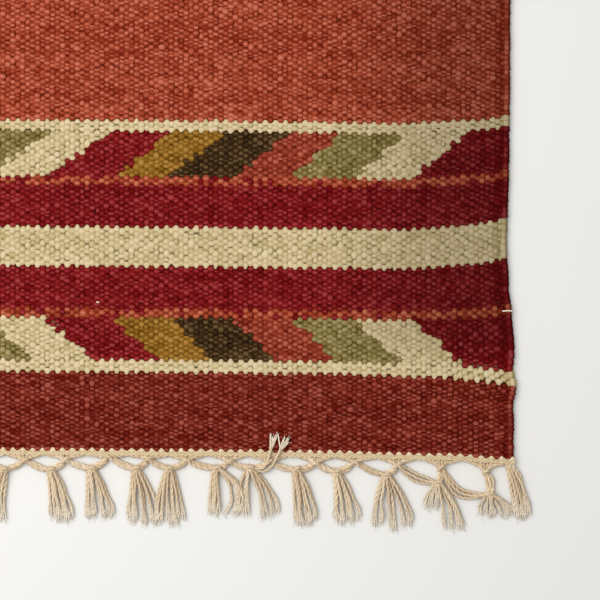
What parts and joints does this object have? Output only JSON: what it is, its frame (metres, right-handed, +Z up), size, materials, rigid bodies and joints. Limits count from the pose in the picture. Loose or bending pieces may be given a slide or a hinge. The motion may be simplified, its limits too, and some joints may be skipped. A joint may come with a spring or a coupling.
{
  "type": "kilim rug",
  "caption": "Small flat-woven kilim rug, lying flat, with striped bands of slanted blocks near each end and a knotted, netted cotton fringe along both short edges.",
  "frame": {"origin": "on the floor, under the middle of the woven web", "axes": "+Z up, out of the rug's face; +Y along the rug, from the near fringe to the far one; +X across it"},
  "size_m": [0.6256, 0.9961, 0.0057],
  "materials": {
    "wool_weft": "matt weft-faced weave of hand-spun wool",
    "cotton_warp": "matt plied cotton yarn"
  },
  "bodies": {
    "root": {"rug_web": "wool_weft", "fringe_near": "cotton_warp", "fringe_far": "cotton_warp"}
  },
  "joints": []
}
